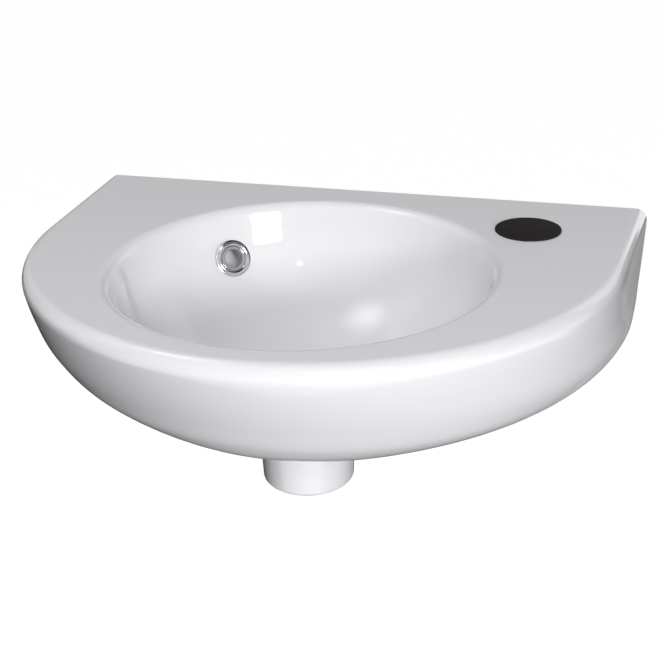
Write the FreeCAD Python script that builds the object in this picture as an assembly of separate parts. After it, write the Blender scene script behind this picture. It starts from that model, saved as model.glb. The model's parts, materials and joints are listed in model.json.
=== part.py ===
import FreeCAD, Part
import math
import os

# Round wall-hung basin. Millimetres, +Z up, wall plane at y = 0, front towards -Y.
# The origin is on the wall plane, midway between the two wall fixings.

# Outline of the ceramic
basin_width = 450.0
skin_reach = 333.0  # wall to front at deck level, before the rim is rounded
skin_depth = 134.0
rim_radius = 9.0
fixing_drop = 50.0  # deck down to the wall fixings

# Levels of the outer skin, from the deck down: each is a wall line, two straight sides and a front arc
level_depth_shares = (0.0, 0.25, 0.45, 0.6, 0.73, 0.85, 0.94, 1.0)
half_width_shares = (1.0, 0.995, 0.989, 0.985, 0.974, 0.945, 0.87, 0.66)
reach_shares = (1.0, 0.955, 0.906, 0.864, 0.805, 0.705, 0.625, 0.54)
side_taper_angles = (4.5, 2.0, 0.8, 9.8, 24.9, 33.4, 35.7, 30.0)
steps_per_level = 4

# Walls of the casting
skin_wall = 10.0
deck_wall = 13.0
bowl_wall = 9.0
rail_wall = 14.0
rail_height = 85.0
cavity_reach = 240.0  # the hollow stops here, where skin and bowl become one wall

# Open place under the rear, for a hand or a pipe
access_half_width = 105.0
access_reach = 62.0
access_corner_radius = 24.0

# Bowl
bowl_axis_reach = 168.5  # wall to the bowl's axis
bowl_mouth_radius = 140.0
lip_radius = 8.0
bowl_side_length = 14.0
bowl_draft_angle = 14.0
bowl_arc_radius = 109.0
floor_fall_angle = 8.0

# Outlet
outlet_radius = 22.5
waste_seat_radius = 32.0
waste_seat_depth = 3.0
outlet_drop = 167.0  # deck down to the end of the boss
boss_end_radius = 33.5
boss_root_radius = 36.0
boss_edge_radius = 3.0

# Tap hole and its plug
tap_hole_share = 0.363617  # of the way from the bowl's mouth to the side
tap_hole_reach = 66.0
tap_hole_radius = 17.5
tap_flare = 4.0
plug_flange_radius = 24.2
plug_flange_thickness = 1.6
plug_edge_radius = 0.6
plug_clearance = 0.4

# Overflow, turned from straight back towards the left
overflow_angle = 44.0
overflow_drop = 36.0
overflow_hole_radius = 11.5
overflow_chamber_depth = 17.0
chamber_wall = 5.0
duct_radius = 6.5
duct_wall = 5.0
duct_knee_radius = 118.0  # from the bowl's axis
duct_knee_drop = 106.0
duct_end_drop = 122.0
bezel_flange_radius = 14.5
bezel_flange_thickness = 2.4
bezel_edge_radius = 1.0
bezel_barrel_radius = 11.0
bezel_bore_radius = 9.4
bezel_barrel_length = 12.0
seal_thickness = 1.6
seal_radius = 13.6
sleeve_clearance = 0.1
sleeve_bore_radius = 7.2
sleeve_length = 10.0
sleeve_sink = 0.6  # face of the sleeve below the face of the ring

# Wall fixings
fixing_spacing = 200.0
bolt_radius = 4.5
bolt_wall_radius = 5.0
bolt_wall_length = 55.0
bolt_tip_length = 8.0
bolt_tip_radius = 1.0
bolt_spare_length = 6.0
bolt_chamfer = 1.0
rail_hole_radius = 7.0
fixing_clearance = 0.1
bush_flange_radius = 13.0
bush_flange_thickness = 3.0
washer_radius = 12.5
washer_thickness = 2.0
nut_across_flats = 17.0
nut_thickness = 8.0

overrun = 2.0  # how far a cutting shape passes the face it cuts

# Places worked out from the sizes above
half_width = basin_width / 2
deck_z = fixing_drop
bowl_axis_y = -bowl_axis_reach
bowl_mouth_x = math.sqrt(bowl_mouth_radius ** 2 - (bowl_axis_reach - tap_hole_reach) ** 2)
tap_hole_x = bowl_mouth_x + (half_width - bowl_mouth_x) * tap_hole_share
UP = FreeCAD.Vector(0, 0, 1)
TO_WALL = FreeCAD.Vector(0, 1, 0)
draft = math.radians(bowl_draft_angle)
fall = math.radians(floor_fall_angle)


def vec(x, y, z):
    return FreeCAD.Vector(x, y, z)


def polar(radius, turn):
    """Point of a half-plane at a distance from its corner, turned from the first axis."""
    return radius * math.cos(turn), radius * math.sin(turn)


def eased(table, depth_share):
    """Smooth curve through a table of levels: cubic pieces with parabolic slopes at the levels."""
    steps = [b - a for a, b in zip(level_depth_shares, level_depth_shares[1:])]
    rises = [(b - a) / step for a, b, step in zip(table, table[1:], steps)]
    slopes = [
        (steps[k + 1] * rises[k] + steps[k] * rises[k + 1]) / (steps[k] + steps[k + 1])
        for k in range(len(steps) - 1)
    ]
    slopes = [2 * rises[0] - slopes[0], *slopes, 2 * rises[-1] - slopes[-1]]
    k = max(i for i in range(len(steps)) if level_depth_shares[i] <= depth_share)
    t = (depth_share - level_depth_shares[k]) / steps[k]
    ends = table[k] * (1 + 2 * t) * (1 - t) ** 2 + table[k + 1] * t * t * (3 - 2 * t)
    return ends + steps[k] * t * (1 - t) * (slopes[k] * (1 - t) - slopes[k + 1] * t)


def skin_levels():
    """Half-width, taper of the sides, reach and depth of each level of the outer skin."""
    depth_shares = []
    for upper, lower in zip(level_depth_shares, level_depth_shares[1:]):
        depth_shares += [upper + (lower - upper) * k / steps_per_level for k in range(steps_per_level)]
    levels = []
    for share in [*depth_shares, level_depth_shares[-1]]:
        half = half_width * eased(half_width_shares, share)
        taper = math.radians(eased(side_taper_angles, share))
        reach = skin_reach * eased(reach_shares, share)
        levels.append((half, taper, reach, skin_depth * share))
    return levels


def inner_levels(wall):
    """The same levels moved inwards by a wall, square to the skin's front profile."""
    levels = skin_levels()
    moved = []
    for index, (half, taper, reach, depth) in enumerate(levels):
        above = levels[max(index - 1, 0)]
        below = levels[min(index + 1, len(levels) - 1)]
        tilt = math.atan2(above[2] - below[2], below[3] - above[3])
        inwards = wall * math.cos(tilt)
        upwards = wall * math.sin(tilt)
        moved.append((half - wall, taper, reach - inwards, depth - upwards))
    return moved


def level_wire(half, taper, reach, depth, past_wall):
    """Closed outline of one level: back line, tapered sides that run into the front arc."""
    z = deck_z - depth
    radius = (half * math.cos(taper) - reach * math.sin(taper)) / (1 - math.sin(taper))
    centre_y = radius - reach
    side_x, side_y = polar(radius, -taper)
    side_y += centre_y
    back_x = half + past_wall * (half - side_x) / -side_y
    mid_x, mid_y = polar(radius, -(taper + math.pi / 2) / 2)
    mid_y += centre_y
    right_back = vec(back_x, past_wall, z)
    left_back = vec(-back_x, past_wall, z)
    right_side = vec(side_x, side_y, z)
    left_side = vec(-side_x, side_y, z)
    front = vec(0, -reach, z)
    edges = [
        Part.LineSegment(left_back, right_back).toShape(),
        Part.LineSegment(right_back, right_side).toShape(),
        Part.Arc(right_side, vec(mid_x, mid_y, z), front).toShape(),
        Part.Arc(front, vec(-mid_x, mid_y, z), left_side).toShape(),
        Part.LineSegment(left_side, left_back).toShape(),
    ]
    return Part.Wire(edges)


def skin_solid(levels, past_wall):
    return Part.makeLoft([level_wire(*level, past_wall) for level in levels], True, False)


def round_rim(solid):
    """Round the deck's outer edge, all but the line along the wall."""
    rim = []
    for edge in solid.Edges:
        at_deck = all(abs(v.Z - deck_z) < FreeCAD.Base.Precision.confusion() for v in edge.Vertexes)
        at_wall = all(abs(v.Y) < FreeCAD.Base.Precision.confusion() for v in edge.Vertexes)
        if at_deck and not at_wall:
            rim.append(edge)
    return solid.makeFillet(rim_radius, rim)


def block(low, high):
    size = high - low
    return Part.makeBox(size.x, size.y, size.z, low)


def turned(edges, axis_x, axis_y):
    """Solid of revolution about an upright axis, from a closed outline in the XZ plane."""
    solid = Part.makeSolid(Part.Shell(Part.Face(Part.Wire(edges)).revolve(vec(0, 0, 0), UP, 360).Faces))
    solid.translate(vec(axis_x, axis_y, 0))
    return solid


def line(a, b):
    return Part.LineSegment(vec(a[0], 0, a[1]), vec(b[0], 0, b[1])).toShape()


def arc(a, middle, b):
    return Part.Arc(vec(a[0], 0, a[1]), vec(middle[0], 0, middle[1]), vec(b[0], 0, b[1])).toShape()


def outline(points):
    return [line(a, b) for a, b in zip(points, points[1:] + points[:1])]


# Profile of the bowl: radius from its axis, and height
lip_top = (bowl_mouth_radius, deck_z)
lip_middle_turn = (math.pi / 2 + math.pi - draft) / 2
lip_x, lip_z = polar(lip_radius, lip_middle_turn)
lip_middle = (bowl_mouth_radius + lip_x, deck_z - lip_radius + lip_z)
lip_x, lip_z = polar(lip_radius, math.pi - draft)
side_top = (bowl_mouth_radius + lip_x, deck_z - lip_radius + lip_z)
side_foot = (
    side_top[0] - bowl_side_length * math.sin(draft),
    side_top[1] - bowl_side_length * math.cos(draft),
)
arc_centre = (
    side_foot[0] - bowl_arc_radius * math.cos(draft),
    side_foot[1] + bowl_arc_radius * math.sin(draft),
)


def on_bowl_arc(turn, extra):
    """Point of the bowl's lower arc, at a turn below level, moved outwards by extra."""
    x, z = polar(bowl_arc_radius + extra, -turn)
    return arc_centre[0] + x, arc_centre[1] + z


arc_middle_turn = (draft + math.pi / 2 - fall) / 2
floor_edge_turn = math.pi / 2 - fall
floor_edge = on_bowl_arc(floor_edge_turn, 0)
seat_top_z = floor_edge[1] - (floor_edge[0] - waste_seat_radius) * math.tan(fall)
seat_z = seat_top_z - waste_seat_depth
outlet_z = deck_z - outlet_drop


def bowl_space():
    """The room inside the bowl, down through the outlet."""
    over = deck_z + overrun
    edges = [
        line((0, over), (bowl_mouth_radius, over)),
        line((bowl_mouth_radius, over), lip_top),
        arc(lip_top, lip_middle, side_top),
        line(side_top, side_foot),
        arc(side_foot, on_bowl_arc(arc_middle_turn, 0), floor_edge),
        line(floor_edge, (waste_seat_radius, seat_top_z)),
        line((waste_seat_radius, seat_top_z), (waste_seat_radius, seat_z)),
        line((waste_seat_radius, seat_z), (outlet_radius, seat_z)),
        line((outlet_radius, seat_z), (outlet_radius, outlet_z - overrun)),
        line((outlet_radius, outlet_z - overrun), (0, outlet_z - overrun)),
        line((0, outlet_z - overrun), (0, over)),
    ]
    return turned(edges, 0, bowl_axis_y)


def bowl_mass():
    """The bowl with its wall, filled, as the hollow of the casting sees it."""
    foot = on_bowl_arc(draft, bowl_wall)
    edge = on_bowl_arc(floor_edge_turn, bowl_wall)
    top_x = foot[0] + (deck_z - foot[1]) * math.tan(draft)
    low_z = edge[1] - edge[0] * math.tan(fall)
    edges = [
        line((0, deck_z), (top_x, deck_z)),
        line((top_x, deck_z), foot),
        arc(foot, on_bowl_arc(arc_middle_turn, bowl_wall), edge),
        line(edge, (0, low_z)),
        line((0, low_z), (0, deck_z)),
    ]
    return turned(edges, 0, bowl_axis_y)


def hollow():
    """The space between skin and bowl, open to the wall below the rail."""
    space = skin_solid(inner_levels(skin_wall), overrun)
    low_z = deck_z - skin_depth
    kept = block(vec(-half_width, -cavity_reach, low_z), vec(half_width, overrun, deck_z - deck_wall))
    rail = block(vec(-basin_width, -rail_wall, deck_z - rail_height), vec(basin_width, 2 * overrun, deck_z))
    return space.common(kept).cut(rail).cut(bowl_mass()).cut(duct_jacket())


def access_cut():
    low_z = deck_z - skin_depth - overrun
    low = vec(-access_half_width, -access_reach, low_z)
    cut = block(low, vec(access_half_width, overrun, deck_z - rail_height))
    upright = [e for e in cut.Edges if e.BoundBox.ZLength > overrun]
    front = [e for e in upright if e.BoundBox.YMax < -access_reach / 2]
    return cut.makeFillet(access_corner_radius, front)


def outlet_boss():
    top_z = seat_z - bowl_wall / 2
    boss = Part.makeCone(boss_end_radius, boss_root_radius, top_z - outlet_z, vec(0, bowl_axis_y, outlet_z))
    circles = [e for e in boss.Edges if e.isClosed()]
    foot = min(circles, key=lambda edge: edge.CenterOfMass.z)
    return boss.makeFillet(boss_edge_radius, [foot])


# Overflow: a point of the bowl's side, its direction away from the axis and the ring's own axis
overflow_turn = math.radians(90 + overflow_angle)
overflow_away = vec(math.cos(overflow_turn), math.sin(overflow_turn), 0)
overflow_down = deck_z - overflow_drop
overflow_tilt = math.asin((arc_centre[1] - overflow_down) / bowl_arc_radius)
overflow_radius = on_bowl_arc(overflow_tilt, 0)[0]
overflow_point = vec(0, bowl_axis_y, overflow_down) + overflow_away * overflow_radius
into_bowl = overflow_away * -math.cos(overflow_tilt) + UP * math.sin(overflow_tilt)


def along_overflow(distance):
    """Point on the ring's axis, counted from the bowl's side into the bowl."""
    return overflow_point + into_bowl * distance


def overflow_rod(radius, start, end):
    return Part.makeCylinder(radius, abs(end - start), along_overflow(min(start, end)), into_bowl)


def duct_run(points, radius):
    """Straight runs with round knees."""
    run = None
    for a, b in zip(points, points[1:]):
        reach = b - a
        piece = Part.makeCylinder(radius, reach.Length, a, reach).fuse(Part.makeSphere(radius, b))
        run = piece if run is None else run.fuse(piece)
    return run


def duct_points():
    chamber = along_overflow(duct_radius - overflow_chamber_depth)
    knee = vec(0, bowl_axis_y, deck_z - duct_knee_drop) + overflow_away * duct_knee_radius
    end = vec(0, bowl_axis_y, deck_z - duct_end_drop) + overflow_away * outlet_radius
    return [chamber, knee, end]


def duct_jacket():
    """Ceramic left standing in the hollow around the overflow's chamber and duct."""
    chamber_end = -overflow_chamber_depth - chamber_wall
    chamber = overflow_rod(overflow_hole_radius + chamber_wall, -bowl_wall / 2, chamber_end)
    return chamber.fuse(duct_run(duct_points(), duct_radius + duct_wall))


def basin_body():
    low, high = vec(-basin_width, 0, outlet_z), vec(basin_width, 2 * overrun, deck_z + overrun)
    body = round_rim(skin_solid(skin_levels(), overrun).cut(block(low, high)))
    body = body.cut(hollow()).cut(access_cut()).fuse(outlet_boss()).cut(bowl_space())
    body = body.cut(overflow_rod(overflow_hole_radius, bowl_wall, -overflow_chamber_depth))
    body = body.cut(duct_run(duct_points(), duct_radius))
    body = body.cut(tap_hole())
    for x in fixing_places():
        body = body.cut(wall_rod(x, rail_hole_radius, -rail_wall - overrun, overrun))
    return body.removeSplitter()


def tap_hole():
    over_radius = tap_hole_radius + tap_flare + overrun
    flare = outline([
        (0, deck_z + overrun),
        (over_radius, deck_z + overrun),
        (tap_hole_radius, deck_z - tap_flare),
        (tap_hole_radius, deck_z - deck_wall - overrun),
        (0, deck_z - deck_wall - overrun),
    ])
    return turned(flare, tap_hole_x, -tap_hole_reach)


def tap_hole_plug():
    """Flat disc on the deck, with a short tapered spigot in the flared mouth of the hole."""
    top = deck_z + plug_flange_thickness
    spigot = tap_hole_radius + tap_flare - plug_clearance
    spigot_length = tap_flare - plug_clearance
    disc = outline([
        (0, top),
        (plug_flange_radius, top),
        (plug_flange_radius, deck_z),
        (spigot, deck_z),
        (spigot - spigot_length, deck_z - spigot_length),
        (0, deck_z - spigot_length),
    ])
    plug = turned(disc, tap_hole_x, -tap_hole_reach)
    circles = [e for e in plug.Edges if e.isClosed()]
    rim = max(circles, key=lambda edge: edge.CenterOfMass.z)
    return plug.makeFillet(plug_edge_radius, [rim])


def overflow_bezel():
    face = seal_thickness + bezel_flange_thickness
    flange = overflow_rod(bezel_flange_radius, seal_thickness, face)
    circles = [e for e in flange.Edges if e.isClosed()]
    rim = max(circles, key=lambda edge: edge.CenterOfMass.dot(into_bowl))
    ring = flange.makeFillet(bezel_edge_radius, [rim])
    ring = ring.fuse(overflow_rod(bezel_barrel_radius, seal_thickness - bezel_barrel_length, face / 2))
    return ring.cut(overflow_rod(bezel_bore_radius, -bezel_barrel_length, face + overrun)).removeSplitter()


def overflow_sleeve():
    face = seal_thickness + bezel_flange_thickness - sleeve_sink
    outside = overflow_rod(bezel_bore_radius - sleeve_clearance, face - sleeve_length, face)
    return outside.cut(overflow_rod(sleeve_bore_radius, face - sleeve_length - overrun, face + overrun))


def overflow_seal(body):
    """Washer whose back follows the curve of the bowl's side."""
    ring = overflow_rod(seal_radius, seal_thickness - bezel_barrel_length / 2, seal_thickness)
    ring = ring.cut(overflow_rod(overflow_hole_radius, -bezel_barrel_length, seal_thickness + overrun))
    pieces = ring.cut(body).Solids
    return max(pieces, key=lambda piece: piece.CenterOfMass.dot(into_bowl))


def fixing_places():
    return (-fixing_spacing / 2, fixing_spacing / 2)


def wall_rod(x, radius, start, end):
    """Round bar square to the wall, from one y to another."""
    return Part.makeCylinder(radius, end - start, vec(x, start, 0), TO_WALL)


rail_face = -rail_wall
bush_face = rail_face - bush_flange_thickness
washer_face = bush_face - washer_thickness
nut_face = washer_face - nut_thickness


def hanger_bolt(x):
    """Stud with a chamfered nut end and a wider, pointed wall end."""
    start = nut_face - bolt_spare_length
    shank = wall_rod(x, bolt_radius, start + bolt_chamfer, 0)
    wall_end = wall_rod(x, bolt_wall_radius, 0, bolt_wall_length)
    nose_radius = bolt_radius - bolt_chamfer
    nose = Part.makeCone(nose_radius, bolt_radius, bolt_chamfer, vec(x, start, 0), TO_WALL)
    tip_start = vec(x, bolt_wall_length, 0)
    tip = Part.makeCone(bolt_wall_radius, bolt_tip_radius, bolt_tip_length, tip_start, TO_WALL)
    return shank.fuse([nose, wall_end, tip]).removeSplitter()


def fixing_bush(x):
    sleeve = wall_rod(x, rail_hole_radius - fixing_clearance, rail_face, 0)
    flange = wall_rod(x, bush_flange_radius, bush_face, rail_face)
    bore = wall_rod(x, bolt_radius + fixing_clearance, bush_face - overrun, overrun)
    return sleeve.fuse(flange).cut(bore)


def fixing_washer(x):
    bore = wall_rod(x, bolt_radius + fixing_clearance, washer_face - overrun, bush_face + overrun)
    return wall_rod(x, washer_radius, washer_face, bush_face).cut(bore)


def fixing_nut(x):
    corner = nut_across_flats / math.sqrt(3)
    corners = [polar(corner, math.radians(60 * k)) for k in range(7)]
    wire = Part.makePolygon([vec(x + a, nut_face, b) for a, b in corners])
    nut = Part.Face(wire).extrude(TO_WALL * nut_thickness)
    return nut.cut(wall_rod(x, bolt_radius + fixing_clearance, nut_face - overrun, washer_face + overrun))


def pair(maker):
    return Part.makeCompound([maker(x) for x in fixing_places()])


def main():
    os.makedirs("parts", exist_ok=True)
    body = basin_body()
    pieces = {
        "basin_body": body,
        "overflow_bezel": overflow_bezel(),
        "overflow_sleeve": overflow_sleeve(),
        "overflow_seal": overflow_seal(body),
        "tap_hole_plug": tap_hole_plug(),
        "hanger_bolts": pair(hanger_bolt),
        "fixing_bushes": pair(fixing_bush),
        "fixing_washers": pair(fixing_washer),
        "fixing_nuts": pair(fixing_nut),
    }
    for name, shape in pieces.items():
        box = shape.BoundBox
        print(name, len(shape.Solids), shape.isValid(), round(shape.Volume), box)
        shape.exportStep(f"parts/{name}.step")


main()
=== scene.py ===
import json
import math
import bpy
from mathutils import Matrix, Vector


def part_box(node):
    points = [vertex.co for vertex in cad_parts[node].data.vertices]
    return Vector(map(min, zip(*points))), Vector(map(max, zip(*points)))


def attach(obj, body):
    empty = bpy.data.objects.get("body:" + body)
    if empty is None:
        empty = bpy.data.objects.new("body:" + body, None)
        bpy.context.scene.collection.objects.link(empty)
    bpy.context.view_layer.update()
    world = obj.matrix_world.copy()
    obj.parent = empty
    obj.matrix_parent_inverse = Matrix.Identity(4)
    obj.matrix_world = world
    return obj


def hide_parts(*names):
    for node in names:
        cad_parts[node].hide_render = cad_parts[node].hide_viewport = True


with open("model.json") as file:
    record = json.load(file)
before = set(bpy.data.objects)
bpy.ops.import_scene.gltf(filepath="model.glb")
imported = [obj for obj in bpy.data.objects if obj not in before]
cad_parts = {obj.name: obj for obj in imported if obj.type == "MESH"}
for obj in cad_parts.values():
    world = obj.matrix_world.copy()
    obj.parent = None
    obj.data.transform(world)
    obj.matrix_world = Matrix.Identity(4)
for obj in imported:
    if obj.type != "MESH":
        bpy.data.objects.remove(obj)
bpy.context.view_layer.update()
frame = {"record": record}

from types import SimpleNamespace

import bmesh
import bpy
import numpy as np
from bpy.props import FloatProperty, FloatVectorProperty, PointerProperty
from bpy.types import Operator, Panel, PropertyGroup
from mathutils import Matrix, Vector

bl_info = {
    "name": "Wall-hung basin",
    "version": (1, 0, 0),
    "blender": (4, 5, 0),
    "location": "View3D > Sidebar > Basin",
    "description": "Ceramic basin with overflow ring, tap hole plug and wall fixings, on a plain stage",
    "category": "Object",
}

MM = 0.001
SLIVER = 0.005 * MM  # edges and faces below this size are taken out of the ceramic
PAST = 2 * MM  # how far a cutting shape passes the face it cuts
RECORD = frame["record"]
COLOURS = {m["slot"]: tuple(m["base_color"]) for m in RECORD["materials"]}
MOUNTS = {m["name"]: m for m in RECORD["mounts"]}
TAP_HOLE, WASTE, WALL = (MOUNTS[name] for name in ("tap_hole", "waste_outlet", "wall_fixings"))
OVER_TAP_HOLE = Matrix.Translation((*TAP_HOLE["pos_m"][:2], 0))
BODY_LOW, BODY_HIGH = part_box("basin_body")
BOLT_LOW, BOLT_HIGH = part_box("hanger_bolts")
BUSH_LOW, BUSH_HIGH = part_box("fixing_bushes")
WASHER_LOW, WASHER_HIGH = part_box("fixing_washers")
NUT_LOW, NUT_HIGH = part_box("fixing_nuts")
PLUG_LOW, PLUG_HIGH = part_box("tap_hole_plug")

# Levels of the ceramic's skin, from the deck down to the flat of the underside
LEVEL_DEPTHS = (0.0, 0.25, 0.45, 0.6, 0.73, 0.85, 0.94, 1.0)
HALF_WIDTHS = (1.0, 0.995, 0.989, 0.985, 0.974, 0.945, 0.87, 0.66)
REACHES = (1.0, 0.955, 0.906, 0.864, 0.805, 0.705, 0.625, 0.54)
SIDE_TAPERS = (4.5, 2.0, 0.8, 9.8, 24.9, 33.4, 35.7, 30.0)

# How finely the ceramic is divided
SIDE_COLUMNS, ARC_COLUMNS, BACK_COLUMNS = 26, 92, 60
SKIN_ROWS, RIM_ROWS, LIP_ROWS, BOWL_ROWS = 46, 13, 13, 41
HOLLOW_ROWS, HOLLOW_COLUMNS, HOLLOW_BACK = 29, 121, 20
DECK_SHARES = (0.02, 0.2, 0.4, 0.6, 0.8, 0.98)
SKIN_CROWDING = 1.25  # above 1, the skin's rows are closer together low down
UP = np.array([0.0, 0.0, 1.0])


def length(name, description, default):
    return FloatProperty(name=name, description=description, default=default, unit="LENGTH", precision=4)


def angle(name, description, degrees):
    return FloatProperty(name=name, description=description, default=math.radians(degrees), subtype="ANGLE")


def colour(name, description, slot):
    return FloatVectorProperty(
        name=name, description=description, default=COLOURS[slot], subtype="COLOR", size=3, min=0, max=1
    )


def amount(name, description, default):
    return FloatProperty(name=name, description=description, default=default, min=0, subtype="NONE")


class BasinCeramicSizes(PropertyGroup):
    """Sizes of the ceramic casting."""

    width: length("Width", "Width at the wall, at deck level", 0.45)
    reach: length("Reach", "Wall to front before the rim is rounded", 0.333)
    skin_depth: length("Skin depth", "Deck down to the flat of the underside", 0.134)
    deck_height: length("Deck height", "Height of the deck above the wall fixings", BODY_HIGH.z)
    rim_radius: length("Rim radius", "Rounding of the outer rim", 0.009)
    skin_wall: length("Skin wall", "Thickness of the outer skin", 0.01)
    deck_wall: length("Deck wall", "Thickness of the deck", 0.013)
    bowl_wall: length("Bowl wall", "Thickness of the bowl", 0.009)
    rail_wall: length("Rail wall", "Thickness of the rail that takes the fixings", 0.014)
    rail_height: length("Rail height", "Deck down to the rail's lower edge", 0.085)
    cavity_reach: length("Hollow reach", "Wall to the end of the hollow under the deck", 0.24)
    access_half_width: length("Access half width", "Half the opening under the rear", 0.105)
    access_reach: length("Access reach", "Wall to the front of that opening", 0.062)
    access_corner: length("Access corner", "Rounding of that opening", 0.024)
    bowl_reach: length("Bowl reach", "Wall to the bowl's axis", -WASTE["pos_m"][1])
    mouth_radius: length("Mouth radius", "Radius of the bowl's mouth", 0.14)
    lip_radius: length("Lip radius", "Rounding of the bowl's lip", 0.008)
    side_length: length("Side length", "Straight part of the bowl's side", 0.014)
    side_draft: angle("Side draft", "Slope of the bowl's side", 14)
    bowl_radius: length("Bowl radius", "Radius of the bowl's lower curve", 0.109)
    floor_fall: angle("Floor fall", "Slope of the floor towards the outlet", 8)
    outlet_radius: length("Outlet radius", "Bore of the outlet", WASTE["dims"]["r_mm"] * MM)
    seat_radius: length("Seat radius", "Sunk seat for a waste flange", 0.032)
    seat_depth: length("Seat depth", "Depth of that seat", 0.003)
    outlet_foot: length("Outlet foot", "Height of the boss end against the fixings", BODY_LOW.z)
    boss_end_radius: length("Boss end", "Radius of the boss at its end", 0.0335)
    boss_root_radius: length("Boss root", "Radius of the boss at the bowl", 0.036)
    boss_edge: length("Boss edge", "Rounding of the boss end", 0.003)
    tap_hole_radius: length("Tap hole", "Radius of the tap hole", TAP_HOLE["dims"]["r_mm"] * MM)
    tap_flare: length("Tap hole flare", "Flare of the tap hole's mouth", 0.004)
    rail_hole_radius: length("Rail hole", "Radius of the holes for the wall fixings", 0.007)


class BasinOverflowSizes(PropertyGroup):
    """Sizes of the overflow ring, its liner and its seal."""

    turn: angle("Turn", "From straight back towards the left", 44)
    drop: length("Drop", "Deck down to the ring's centre", 0.036)
    hole_radius: length("Hole", "Radius of the hole in the bowl", 0.0115)
    chamber_depth: length("Chamber", "Depth of the chamber behind the ring", 0.017)
    chamber_wall: length("Chamber wall", "Ceramic around the chamber", 0.005)
    duct_radius: length("Duct", "Radius of the duct to the outlet", 0.0065)
    duct_wall: length("Duct wall", "Ceramic around the duct", 0.005)
    knee_radius: length("Duct knee", "Bowl's axis to the duct's knee", 0.118)
    knee_drop: length("Knee drop", "Deck down to the knee", 0.106)
    end_drop: length("End drop", "Deck down to the duct's end", 0.122)
    ring_radius: length("Ring", "Outer radius of the ring", 0.0145)
    ring_thickness: length("Ring thickness", "Thickness of the ring's flange", 0.0024)
    barrel_radius: length("Barrel", "Outer radius of the ring's barrel", 0.011)
    bore_radius: length("Ring bore", "Inner radius of the ring", 0.0094)
    barrel_length: length("Barrel length", "Length of the ring's barrel", 0.012)
    seal_thickness: length("Seal", "Thickness of the seal at its middle", 0.0016)
    seal_radius: length("Seal radius", "Outer radius of the seal", 0.0136)
    sleeve_clearance: length("Sleeve room", "Room around the sleeve", 0.0001)
    sleeve_bore: length("Sleeve bore", "Inner radius of the sleeve", 0.0072)
    sleeve_length: length("Sleeve length", "Length of the sleeve", 0.01)
    sleeve_sink: length("Sleeve sink", "Sleeve's face below the ring's face", 0.0006)


class BasinFixingSizes(PropertyGroup):
    """Sizes of the tap hole plug and the wall fixings."""

    spacing: length("Spacing", "Distance between the wall fixings", WALL["dims"]["spacing_x_mm"] * MM)
    bolt_radius: length("Bolt", "Radius over the nut end's thread", 0.0045)
    wall_radius: length("Bolt in wall", "Radius over the wall end's thread", WALL["dims"]["stud_r_mm"] * MM)
    bolt_pitch: length("Bolt pitch", "Pitch of the nut end's thread", 0.0015)
    wall_pitch: length("Wall pitch", "Pitch of the wall end's thread", 0.0042)
    across_flats: length("Nut", "Nut across its flats", 0.017)
    room: length("Room", "Room around the bolts", 0.0001)
    plug_radius: length("Plug", "Radius of the plug's disc", (PLUG_HIGH.x - PLUG_LOW.x) / 2)


class BasinFinishes(PropertyGroup):
    """Colours of the finishes."""

    glaze: colour("Glaze", "Colour of the glazed ceramic", "glazed_ceramic")
    chrome: colour("Chrome", "Colour of the ring", "polished_chrome")
    sleeve: colour("Sleeve", "Colour of the sleeve", "grey_plastic")
    seal: colour("Seal", "Colour of the rubber", "seal_rubber")
    plug: colour("Plug", "Colour of the plug", "black_plastic")
    zinc: colour("Zinc", "Colour of the plated steel", "zinc_steel")
    nylon: colour("Nylon", "Colour of the bushes", "white_nylon")


class BasinStageSettings(PropertyGroup):
    """Light and camera."""

    fill: amount("Fill", "Even light from all around", 0.02)
    high: amount("High softbox", "Share of full light from the front, high up", 0.43)
    front: amount("Front softbox", "Share of full light from the front", 0.1)
    window: amount("Window", "Share of full light from the window at the front right", 0.44)
    low: amount("Low softbox", "Share of full light from the front, low down", 0.23)
    level: amount("Level softbox", "Share of full light from the front, below the rim", 0.18)
    left: amount("Left softbox", "Share of full light from the left", 0.24)
    top: amount("Top softbox", "Share of full light from above", 0.15)
    rear: amount("Rear softbox", "Share of full light from behind", 0.6)
    rear_glow: amount("Rear card", "Brightness of the grey cards behind and below", 0.28)
    glow: amount("Soft glow", "Brightness of the round glow mirrored in the bowl", 4.6)
    spark: amount("Spark", "Brightness of the small lamp mirrored in the bowl", 20.0)
    floor_height: length("Floor", "Height of the floor", -0.8)


def sizes():
    return bpy.context.scene.basin_ceramic


def overflow_sizes():
    return bpy.context.scene.basin_overflow


def fixing_sizes():
    return bpy.context.scene.basin_fixings


# Meshes

def new_mesh(name, points, faces):
    """Closed mesh with its faces turned outwards."""
    mesh = bpy.data.meshes.new(name)
    mesh.from_pydata([tuple(p) for p in points], [], faces)
    made = bmesh.new()
    made.from_mesh(mesh)
    bmesh.ops.recalc_face_normals(made, faces=made.faces)
    made.to_mesh(mesh)
    made.free()
    return mesh


def new_object(name, mesh):
    thing = bpy.data.objects.new(name, mesh)
    bpy.context.scene.collection.objects.link(thing)
    return thing


def shade(mesh, degrees=40):
    """Smooth faces, with creases above an angle."""
    mesh.shade_smooth()
    mesh.set_sharp_from_angle(angle=math.radians(degrees))
    return mesh


def band(first, second, count):
    """Quads between two rings of points."""
    return [(first + k, first + (k + 1) % count, second + (k + 1) % count, second + k) for k in range(count)]


def grid_mesh(name, rings, closed=False):
    """Rings of equal length, joined in order; the two ends are capped, or joined to each other if closed."""
    rings = np.asarray(rings)
    rows, count = rings.shape[:2]
    faces = [] if closed else [tuple(range(count)), tuple(range((rows - 1) * count, rows * count))]
    for row in range(rows if closed else rows - 1):
        faces += band(row * count, (row + 1) % rows * count, count)
    return new_mesh(name, rings.reshape(-1, 3), faces)


def unit(ways):
    """Directions at length one."""
    return ways / np.linalg.norm(ways, axis=-1, keepdims=True)


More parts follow.
